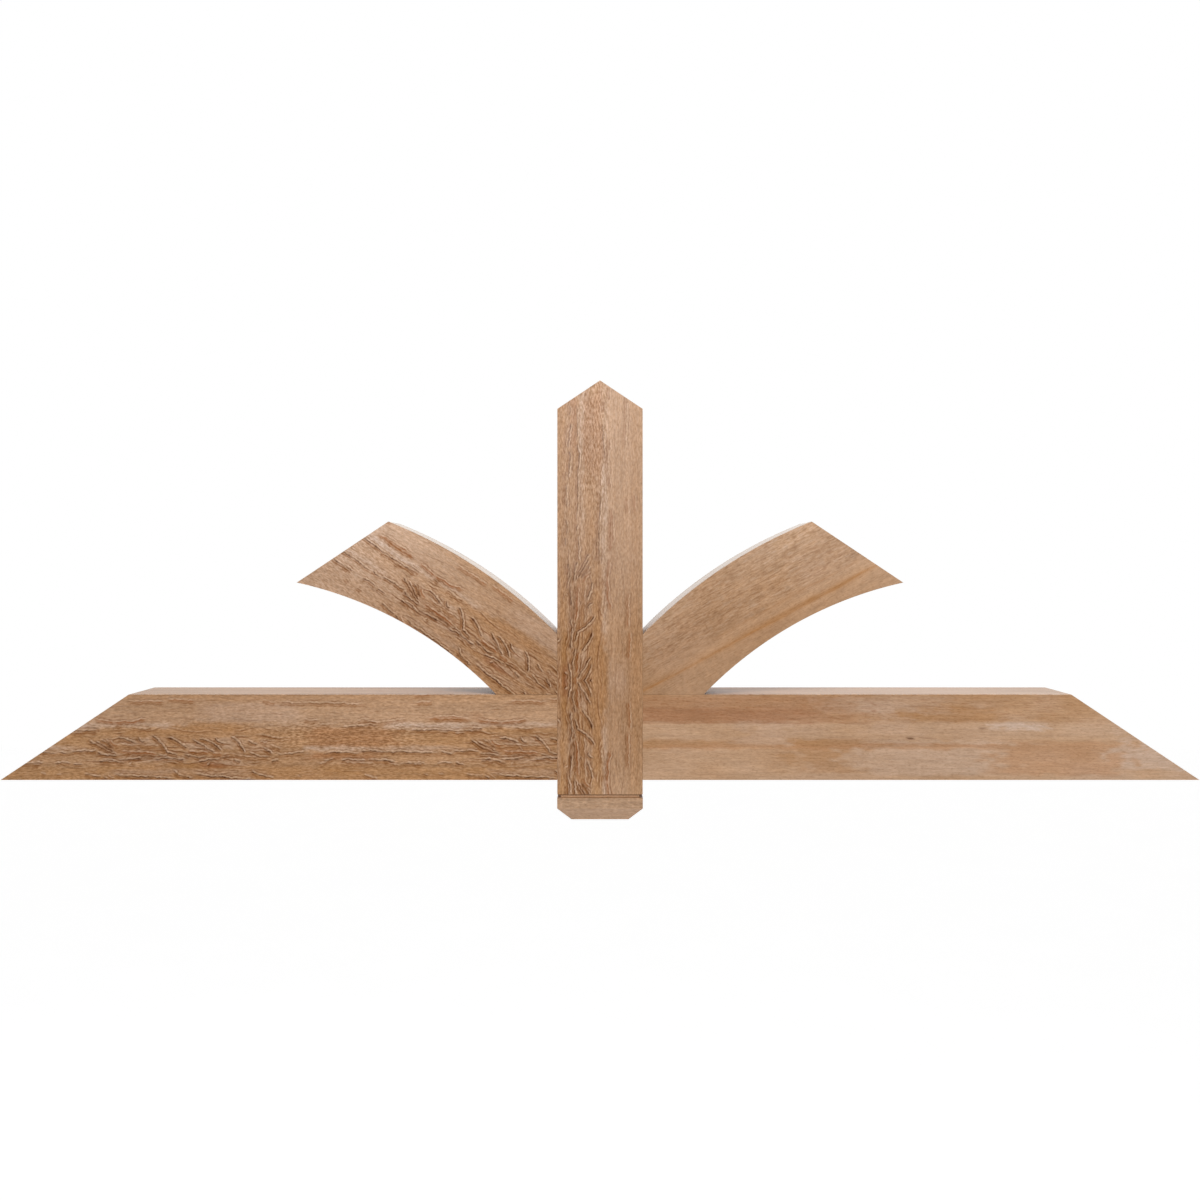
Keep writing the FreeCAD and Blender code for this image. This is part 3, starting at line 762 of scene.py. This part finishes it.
def set_inputs(tree, node, inputs):
    """Gives the inputs of a node, by name or number, their values or links."""
    for key, value in inputs.items():
        if isinstance(value, bpy.types.NodeSocket):
            tree.links.new(value, node.inputs[key])
        else:
            node.inputs[key].default_value = value


def adder(tree):
    """A function that adds a node to a tree, with numbered inputs, settings and named inputs."""
    def add(kind, *numbered, settings=None, **named):
        node = tree.nodes.new(kind)
        for key, value in (settings or {}).items():
            setattr(node, key, value)
        set_inputs(tree, node, {**dict(enumerate(numbered)), **named})
        return node

    return add


def node_tree(name):
    """A new material with its nodes, its shader, and a function that adds nodes."""
    material = bpy.data.materials.new(name)
    material.use_nodes = True
    tree = material.node_tree
    return material, tree, tree.nodes["Principled BSDF"], adder(tree)


def attribute(add, name, output):
    """What a mesh says of its points under a name."""
    return add("ShaderNodeAttribute", settings={"attribute_name": name}).outputs[output]


def ramp(add, value, *stops):
    """A colour that follows a value between two stops, each a place and a colour."""
    node = add("ShaderNodeValToRGB", value)
    for element, (place, colour) in zip(node.color_ramp.elements, stops):
        element.position = place
        element.color = (*colour, 1)
    return node.outputs["Color"]


def relief(add, strength, distance, height):
    """The normal of a fine relief."""
    node = add("ShaderNodeBump", Strength=strength, Distance=distance, Height=height)
    return node.outputs["Normal"]


def calculate(add, operation, *values):
    """The result of arithmetic on values."""
    return add("ShaderNodeMath", *values, settings={"operation": operation}).outputs["Value"]


def product(add, first, *others):
    """The product of values."""
    for other in others:
        first = calculate(add, "MULTIPLY", first, other)
    return first


def scaled(add, vector, scale):
    """A vector or colour times another, part by part."""
    node = add("ShaderNodeVectorMath", vector, scale, settings={"operation": "MULTIPLY"})
    return node.outputs["Vector"]


def stretched_noise(add, vector, scale, detail):
    """Noise in a vector space that is stretched by a scale on each axis."""
    place = scaled(add, vector, scale)
    node = add("ShaderNodeTexNoise", Vector=place, Scale=1.0, Detail=detail, Roughness=0.55)
    return node.outputs["Fac"]


def remap(add, value, low, high, to_low, to_high):
    """A value taken from one range to another and kept inside it."""
    keys = {"From Min": low, "From Max": high, "To Min": to_low, "To Max": to_high}
    return add("ShaderNodeMapRange", Value=value, **keys).outputs["Result"]


def warmed(add, colour, shade):
    """A colour darkened by a shade that takes more from blue than from red."""
    red = calculate(add, "POWER", shade, 0.8)
    blue = calculate(add, "POWER", shade, 1.3)
    return scaled(add, colour, add("ShaderNodeCombineXYZ", red, shade, blue).outputs["Vector"])


def timber_material():
    """Wood: each piece's colours, painted light and shade among them, with grain, end grain and a satin
    sheen.
    """
    material, tree, shader, add = node_tree("timber")
    tint = attribute(add, "tint", "Color")
    plank = attribute(add, "plank", "Vector")
    sawn = attribute(add, "sawn", "Fac")
    end = attribute(add, "end_grain", "Fac")
    grit = attribute(add, "grit", "Fac")
    band = stretched_noise(add, plank, (3, 60, 60), 2)
    streak = stretched_noise(add, plank, (14, 300, 300), 3)
    fibre = stretched_noise(add, plank, (70, 620, 620), 3)
    pore = stretched_noise(add, plank, (170, 520, 520), 3)
    check = stretched_noise(add, plank, (6, 170, 170), 2)
    speck = stretched_noise(add, plank, (140, 420, 420), 2)
    rings = add(
        "ShaderNodeTexWave", settings={"wave_type": "RINGS", "rings_direction": "X"},
        Vector=plank, Scale=55.0, Distortion=1.5, Detail=2.0,
    ).outputs["Fac"]
    uneven = product(
        add,
        remap(add, band, 0.3, 0.7, 0.84, 1.12),
        remap(add, check, 0.58, 0.72, 1.0, 0.72),
        remap(add, streak, 0.35, 0.65, 0.88, 1.1),
    )
    shade = product(
        add,
        remap(add, band, 0.3, 0.7, 0.97, 1.03),
        remap(add, streak, 0.3, 0.7, 0.95, 1.05),
        remap(add, fibre, 0.3, 0.7, 0.91, 1.09),
        remap(add, pore, 0.52, 0.7, 1.03, 0.8),
        calculate(add, "POWER", uneven, sawn),
        calculate(add, "POWER", remap(add, speck, 0.34, 0.66, 1.24, 0.7), grit),
        remap(add, product(add, rings, end), 0.0, 1.0, 1.0, 0.8),
    )
    tone = add("ShaderNodeRGBToBW", tint).outputs["Val"]
    height = calculate(add, "MULTIPLY_ADD", pore, -0.6, fibre)
    set_inputs(tree, shader, {
        "Base Color": warmed(add, tint, shade),
        "Roughness": remap(add, streak, 0.3, 0.7, 0.46, 0.62),
        "Specular IOR Level": 0.05,
        "Coat IOR": 1.2,
        "Coat Weight": remap(add, tone, 0.08, 0.5, 0.0, 1.0),
        "Coat Roughness": 0.25,
        "Normal": relief(add, 0.4, 0.5 * MM, height),
    })
    return material


def patchy_material(name, scale, detail, stops, roughness, rise, **others):
    """Two colours in patches, with the roughness and a relief that follow them."""
    material, tree, shader, add = node_tree(name)
    patch = stretched_noise(add, add("ShaderNodeTexCoord").outputs["Object"], scale, detail)
    set_inputs(tree, shader, {
        "Base Color": ramp(add, patch, *stops),
        "Roughness": remap(add, patch, 0.3, 0.7, *roughness),
        "Normal": relief(add, *rise, patch),
        **others,
    })
    return material


TIMBER = timber_material()
# Pale turned hardwood, its grain upright as in the plugs, and coated steel.
HARDWOOD_STOPS = [(0.3, linear(168, 124, 82)), (0.7, linear(212, 174, 128))]
STEEL_STOPS = [(0.35, (0.24, 0.21, 0.17)), (0.65, (0.44, 0.40, 0.34))]
DOWEL = patchy_material("dowel", (420, 420, 30), 3, HARDWOOD_STOPS, (0.5, 0.7), (0.4, 0.4 * MM))
SCREW = patchy_material(
    "screw", (260, 260, 260), 4, STEEL_STOPS, (0.3, 0.5), (0.2, 0.2 * MM), Metallic=0.9
)


# Timbers.

def chord_place(row, across, into):
    """Points of the chord. A row is 1 at the post's side, 2 at the rake, and negative on the left."""
    z = CHORD_TOP - across * MM
    reach = EAVE - (z - CHORD_UNDER) / SLOPE - POST_SIDE
    inner = np.clip(row, -1, 1)
    x = inner * POST_SIDE + (row - inner) * reach
    return stack(x, FRONT + into * MM, z)


def chord_grain(points):
    """Places in mm along and across the chord's grain."""
    return points[..., 0] / MM, (CHORD_TOP - points[..., 2]) / MM


def chord_face_with_painted_light(points):
    """The rough plank to the left of the post and the planed one to the right."""
    along, across = chord_grain(points)
    if points[0, 0, 0] < 0:
        depth, tint, grit = hewn_plank(along + CHORD_START, across)
    else:
        depth, tint, grit = smooth_plank(along - POST_SIDE / MM, across, CHORD_PATCHES, CHORD_STREAKS)
    return depth, deepened(tint, at_stops(points[..., 0], CHORD_SHADES)), grit


def make_chord():
    """The bottom chord, with its half lap and the holes of its plugs and screws."""
    section = Section(FACE_MM, DEPTH_MM, CHORD_STEPS, SIDE_STEPS)
    chord = Timber(section, chord_place, chord_grain, chord_face_with_painted_light, CHORD_WOOD)
    left_rows, middle_rows, right_rows = CHORD_ROWS
    left = chord.rows(np.linspace(-2, -1, left_rows))
    right = chord.rows(np.linspace(1, 2, right_rows))
    back, front = section.lap_parts()
    middle = chord.rows(np.linspace(-1, 1, middle_rows)[1:-1])
    web = np.concatenate([left[-1:, back], middle[:, back], right[:1, back]])
    chord.faces += side_faces(left) + side_faces(right) + side_faces(web)
    chord.faces += [left[-1, front].tolist(), right[0, front[::-1]].tolist()]
    chord.close(left[0], -2.0, WHOLE, True)
    chord.close(right[-1], 2.0, WHOLE, False)
    holes = []
    sink = 2 * (LAP_SCREW_SINK + SCREW_HEAD)
    for x in (LAP_SCREW_OFFSET, -LAP_SCREW_OFFSET):
        holes.append(((x, 0, x), (0, 1, 0), SCREW_HEAD_RADIUS + HOLE_GAP, sink))
    for low, high in (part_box("left_screw_plugs"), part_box("right_screw_plugs")):
        radius = (high.y - low.y) / 2
        sink = 2 * (high.z - low.z)
        for x in (low.x + radius, high.x - radius):
            holes.append(((x, MID_DEPTH, CHORD_UNDER), (0, 0, 1), radius + HOLE_GAP, sink))
    chord.piece("chord_timber", "bottom_chord", holes)


def post_place(row, across, into):
    """Points of the post. A row runs from 0 at its lower end to 1 at the roof line."""
    x = POST_SIDE - across * MM
    lift = (POST_SIDE - np.abs(x)) * SLOPE * np.clip((row - LAP_ROW) / (1 - LAP_ROW), 0, 1)
    return stack(x, FRONT + into * MM, POST_END + row * POST_RUN + lift)


def post_grain(points):
    """Places in mm along and across the post's grain, downward and leftward."""
    return -points[..., 2] / MM, (POST_SIDE - points[..., 0]) / MM


def post_face_with_painted_light(points):
    """The rough plank turned on end, and turned back from a level over the chord, with painted light
    toward its top and at its lower end.
    """
    down, across = post_grain(points)
    along = POST_START - np.abs(down + POST_TURN)
    depth, tint, grit = hewn_plank(along, across - POST_SHIFT)
    # Painted light: the post is paler and lighter toward its top, and lighter at its lower end.
    tint = mix(tint, PALE, at_stops(points[..., 2], POST_TOP_PAINTED_LIGHT))
    return depth, deepened(tint, at_stops(points[..., 2], POST_PAINTED_LIGHT)), grit


def make_post():
    """The king post, with its half lap and the neck over its cap."""
    section = Section(FACE_MM, DEPTH_MM, LONG_STEPS, SIDE_STEPS)
    post = Timber(section, post_place, post_grain, post_face_with_painted_light, POST_WOOD)
    lap_low = (CHORD_UNDER - LAP_CLEARANCE - POST_END) / POST_RUN
    low_rows, middle_rows, high_rows = POST_ROWS
    low = post.rows(np.linspace(0, lap_low, low_rows))
    middle = post.rows(np.linspace(lap_low, LAP_ROW, middle_rows)[1:-1])
    high = post.rows(np.linspace(LAP_ROW, 1, high_rows))
    back, front = section.lap_parts()
    web = np.concatenate([low[-1:, front], middle[:, front], high[:1, front]])
    neck_points = post.narrowed(0.0, GROOVE / MM)
    # The neck is painted: gold at its foot as painted shade in the corner over the cap, and a pale band
    # above it as painted light.
    drops = GROOVE * np.array([1, 0.9, 0.84, 0.45, 0.36, 0])
    neck = np.stack([neck_points - np.array([0, 0, drop]) for drop in drops])
    neck_painted_light_and_shade = np.stack([GOLD, GOLD, NECK_PAINTED_LIGHT, NECK_PAINTED_LIGHT, TAN, TAN])
    neck = post.keep(neck, neck_painted_light_and_shade[:, None, :], 0, 0)
    post.faces += side_faces(np.concatenate([neck, low])) + side_faces(web) + side_faces(high)
    post.faces += [neck[0, ::-1].tolist(), low[-1, back].tolist(), high[0, back[::-1]].tolist()]
    post.close(high[-1], 1.0, section.halves(FACE_MM / 2), False)
    post.piece("post_timber", "king_post")


def turned_grain(points, x, z, angle, across_there):
    """Places in mm along and across a straight grain that falls to the right by an angle."""
    right = (points[..., 0] - x) / MM
    down = (z - points[..., 2]) / MM
    along = right * math.cos(angle) + down * math.sin(angle)
    return along, across_there + down * math.cos(angle) - right * math.sin(angle)


def brace_reach(radius):
    """The angles between which a left brace has wood at a radius."""
    level = CHORD_TOP - BRACE_CENTRE_Z
    foot = np.arcsin(np.clip(level / radius, -1, 1))
    post = np.arccos(np.clip((-POST_SIDE - BRACE_CENTRE_X) / radius, -1, 1))
    start = np.where(BRACE_CENTRE_X + radius * np.cos(foot) < -POST_SIDE, foot, post)
    normal = math.hypot(1, SLOPE)
    offset = (APEX + SLOPE * BRACE_CENTRE_X - BRACE_CENTRE_Z) / normal
    return start, math.atan2(1, -SLOPE) - np.arccos(np.clip(offset / radius, -1, 1))


def make_brace(side, name, node, anchor, face_look, offset):
    """A curved brace. Its rows run from the foot to the roof line along the arc."""
    def place(row, across, into):
        radius = BRACE_OUTER - across * MM
        start, end = brace_reach(radius)
        angle = start + row * (end - start)
        x = BRACE_CENTRE_X + radius * np.cos(angle)
        return stack(side * x, FRONT + into * MM, BRACE_CENTRE_Z + radius * np.sin(angle))

    def grain(points):
        return turned_grain(points, *anchor)

    corner = (BRACE_OUTER - math.hypot(-POST_SIDE - BRACE_CENTRE_X, CHORD_TOP - BRACE_CENTRE_Z)) / MM
    section = Section(FACE_MM, DEPTH_MM, LONG_STEPS, SIDE_STEPS, [corner])
    brace = Timber(section, place, grain, face_look, offset, ARC_PAINTED_HIGHLIGHT)
    rows = brace.rows(np.linspace(0, 1, BRACE_ROWS))
    brace.faces += side_faces(rows)
    brace.close(rows[0], 0.0, section.halves(corner), True)
    brace.close(rows[-1], 1.0, WHOLE, False)
    brace.piece(name, node)


def arc_painted_light(points, fall):
    """Painted light and shade of a brace: lighter along its outer arc, darker by a fall at its tip along
    the inner one.
    """
    sideways = np.abs(points[..., 0])
    inward = (BRACE_OUTER - np.hypot(sideways + BRACE_CENTRE_X, points[..., 2] - BRACE_CENTRE_Z)) / MM
    outer = np.interp(inward, [8, 40], [1.1, 1.0])
    inner = np.interp(inward, [90, 130], [0, fall]) * np.interp(sideways, [0.2, 0.28], [0, 1])
    return outer - inner


def left_brace_face_with_painted_light(points):
    """The rough plank, with painted light toward its upper tip and painted shade toward the foot."""
    painted_lightness = at_stops(points[..., 0], LEFT_TIP_PAINTED_LIGHT)
    depth, tint, grit = hewn_plank(*turned_grain(points, *LEFT_GRAIN), painted_lightness)
    shade = at_stops(points[..., 0], LEFT_PAINTED_LIGHT_AND_SHADE)
    return depth, deepened(tint, shade * arc_painted_light(points, LEFT_TIP_PAINTED_SHADE)), grit


def right_brace_face_with_painted_light(points):
    """The planed plank, with painted shade toward the foot, and darker in the coarser grain of its upper
    side.
    """
    along, across = turned_grain(points, *RIGHT_GRAIN)
    depth, tint, grit = smooth_plank(along, across * BRACE_SPREAD + BRACE_BAND, [], [])
    coarse = window(across, -200, 62, 40)
    dashes = noise(across / 1.7, along / 11, 101)
    depth = depth + 0.2 * coarse * np.clip(dashes, 0, 1)
    tint = mix(tint, BROWN, 0.42 * coarse * np.clip(dashes, 0, 1))
    tint = mix(tint, PALE, 0.3 * coarse * np.clip(-dashes, 0, 1))
    depth, tint = lay_streaks(along, across, depth, tint, BRACE_STREAKS)
    shade = at_stops(points[..., 0], RIGHT_PAINTED_SHADE)
    return depth, deepened(tint, shade * arc_painted_light(points, RIGHT_TIP_PAINTED_SHADE)), grit + 0.25 * coarse


def make_cap():
    """The cap under the post, with its lower corners cut."""
    thickness = (CAP_HIGH.z - CAP_LOW.z) / MM
    section = Section(thickness, DEPTH_MM, CAP_STEPS, CAP_SIDE_STEPS)

    def place(row, across, into):
        corner = np.clip((np.abs(row) - POST_SIDE + CAP_CORNER_RUN) / CAP_CORNER_RUN, 0, 1)
        height = 1 - corner * CAP_CORNER_RISE / MM / thickness
        return stack(row, FRONT + into * MM, CAP_HIGH.z - across * height * MM)

    def grain(points):
        return points[..., 0] / MM, (CAP_HIGH.z - points[..., 2]) / MM

    def face_look(points):
        along, across = grain(points)
        depth, tint, grit = smooth_plank(along + CAP_START, across * CAP_SPREAD + CAP_BAND, [], [])
        lower = window(across, 19, 36, 3)
        tint = mix(fibres(along, across, 0.94 * tint, 1.2, 111), 0.84 * PINK, 0.45 * lower)
        return depth, tint, grit + 0.35 * (1 - lower)

    inner = POST_SIDE - CAP_CORNER_RUN
    corner_rows, middle_rows = CAP_ROWS
    outer = np.linspace(inner, POST_SIDE, corner_rows)
    middle = np.linspace(-inner, inner, middle_rows)[1:-1]
    cap = Timber(section, place, grain, face_look, CAP_WOOD)
    rows = cap.rows(np.concatenate([-outer[::-1], middle, outer]))
    cap.faces += side_faces(rows)
    cap.close(rows[0], -POST_SIDE, WHOLE, True)
    cap.close(rows[-1], POST_SIDE, WHOLE, False)
    low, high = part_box("cap_screws")
    radius = (high.y - low.y) / 2 + HOLE_GAP
    sides = (-CAP_SCREW_OFFSET, CAP_SCREW_OFFSET)
    holes = [((x, MID_DEPTH, CAP_LOW.z), (0, 0, 1), radius, 2 * CAP_SCREW_HOLE) for x in sides]
    cap.piece("cap_timber", "post_cap", holes)


def screw_rings(radius, head, shaft, length):
    """Rings of a screw from the middle of its drive to its point: depth from the top, and radius."""
    turn = np.linspace(0, 2 * math.pi, SCREW_SIDES, endpoint=False)
    drive = DRIVE_SHARE * radius * (1 + DRIVE_WAVE * np.cos(DRIVE_LOBES * turn))
    drive_depth = DRIVE_DEPTH * head
    rings = [(drive_depth, DRIVE_MIDDLE * drive), (drive_depth, drive), (DRIVE_EDGE * head, drive)]
    rings += [(depth * head, share * radius) for depth, share in HEAD_OUTLINE]
    rings.append((head, shaft))
    thread_rings = int((length - head) / THREAD_PITCH * THREAD_RINGS)
    for depth in np.linspace(head, length - POINT_LENGTH * shaft, thread_rings)[1:]:
        phase = np.mod(depth / THREAD_PITCH - turn / (2 * math.pi), 1)
        rings.append((depth, shaft * (1 - THREAD_DEPTH * window(phase, 0.2, 0.8, 0.2))))
    rings.append((length, POINT_SHARE * shaft))
    return [(depth, np.broadcast_to(ring, turn.shape), turn) for depth, ring in rings]


def make_screws(name, node, tops, axis, radius, head, shaft, length):
    """The screws of one node, each from its head's top along an axis into the wood."""
    into = Vector(axis)
    side = into.orthogonal().normalized()
    other = into.cross(side)
    rings = screw_rings(radius, head, shaft, length)
    points = []
    faces = []
    for top in tops:
        first = len(points) * SCREW_SIDES
        ids = first + np.arange(len(rings) * SCREW_SIDES).reshape(len(rings), SCREW_SIDES)
        for depth, ring, turn in rings:
            circle = np.cos(turn)[:, None] * np.array(side) + np.sin(turn)[:, None] * np.array(other)
            points.append(np.array(top) + depth * np.array(into) + ring[:, None] * circle)
        faces += side_faces(ids) + [ids[0][::-1].tolist(), ids[-1].tolist()]
    piece = new_piece(name, np.concatenate(points), faces, SCREW)
    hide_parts(node)


def make_all_screws():
    """The screws whose heads show: two at the back of the lap and two under the cap."""
    low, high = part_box("lap_screws")
    tops = [(x, high.y, x) for x in (-LAP_SCREW_OFFSET, LAP_SCREW_OFFSET)]
    make_screws(
        "lap_screw_set", "lap_screws", tops, (0, -1, 0),
        SCREW_HEAD_RADIUS, SCREW_HEAD, LAP_SCREW_SHAFT, high.y - low.y,
    )
    low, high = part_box("cap_screws")
    tops = [(x, MID_DEPTH, low.z) for x in (-CAP_SCREW_OFFSET, CAP_SCREW_OFFSET)]
    radius = (high.y - low.y) / 2
    make_screws(
        "cap_screw_set", "cap_screws", tops, (0, 0, 1),
        radius, CAP_SCREW_HEAD, CAP_SCREW_SHAFT, high.z - low.z,
    )


make_chord()
make_post()
make_brace(1, "left_brace_timber", "left_brace", LEFT_GRAIN, left_brace_face_with_painted_light, LEFT_BRACE_WOOD)
make_brace(-1, "right_brace_timber", "right_brace", RIGHT_GRAIN, right_brace_face_with_painted_light, RIGHT_BRACE_WOOD)
make_cap()
make_all_screws()

for name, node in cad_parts.items():
    node.data.materials.clear()
    if name.endswith("screws"):
        node.data.materials.append(SCREW)
    elif name.endswith(("dowels", "plugs")):
        node.data.materials.append(DOWEL)
    else:
        node.data.materials.append(TIMBER)


# Stage, light and camera.

def seen_rays(add):
    """One for the rays that show the background, and nought for the others."""
    rays = add("ShaderNodeLightPath").outputs
    seen = rays["Is Camera Ray"]
    for kind in ("Is Glossy Ray", "Is Transmission Ray"):
        seen = calculate(add, "MAXIMUM", seen, rays[kind])
    return seen


def make_world():
    """A soft even light all round, white where it is seen."""
    world = bpy.data.worlds.new("studio")
    SCENE.world = world
    world.use_nodes = True
    tree = world.node_tree
    add = adder(tree)
    light = tree.nodes["Background"]
    set_inputs(tree, light, {"Color": WHITE, "Strength": WORLD_STRENGTH})
    white = add("ShaderNodeBackground", Color=WHITE, Strength=1.0)
    both = (light.outputs["Background"], white.outputs["Background"])
    blend = add("ShaderNodeMixShader", seen_rays(add), *both)
    set_inputs(tree, tree.nodes["World Output"], {"Surface": blend.outputs["Shader"]})


def make_floor():
    """A pale floor well below the truss, which keeps its shadow."""
    mesh = bpy.data.meshes.new("floor")
    corners = [(-1, -1), (1, -1), (1, 1), (-1, 1)]
    places = [(x * FLOOR_REACH, y * FLOOR_REACH, FLOOR_LEVEL) for x, y in corners]
    mesh.from_pydata(places, [], [(0, 1, 2, 3)])
    floor = new_object("floor", mesh)
    material, tree, shader, add = node_tree("pale_floor")
    patch = stretched_noise(add, add("ShaderNodeTexCoord").outputs["Object"], (2, 2, 2), 3)
    colour = ramp(add, patch, (0, (0.88, 0.88, 0.88)), (1, (0.92, 0.92, 0.92)))
    set_inputs(tree, shader, {"Base Color": colour, "Roughness": 0.9})
    strength = product(add, seen_rays(add), FLOOR_GLOW)
    glow = add("ShaderNodeEmission", Color=WHITE, Strength=strength)
    both = add("ShaderNodeAddShader", shader.outputs["BSDF"], glow.outputs["Emission"])
    set_inputs(tree, tree.nodes["Material Output"], {"Surface": both.outputs["Shader"]})
    mesh.materials.append(material)


def make_lamp(name, place, size, energy):
    """A square soft lamp that looks at the truss."""
    lamp = bpy.data.lights.new(name, "AREA")
    lamp.size = size
    lamp.energy = energy
    holder = new_object(name, lamp)
    holder.location = place
    holder.rotation_euler = (CENTRE - Vector(place)).to_track_quat("-Z", "Y").to_euler()


def make_camera():
    """The photograph's view: level, its horizon a little over the middle."""
    lens = bpy.data.cameras.new("camera")
    lens.sensor_width = SENSOR_MM
    lens.lens = LENS_MM
    lens.shift_y = HORIZON_SHIFT
    camera = new_object("camera", lens)
    camera.location = CAMERA_PLACE
    camera.rotation_euler = (math.pi / 2, 0, 0)
    SCENE.camera = camera


make_world()
make_floor()
for lamp in LAMPS:
    make_lamp(*lamp)
make_camera()
bpy.context.scene.view_settings.view_transform = "Standard"
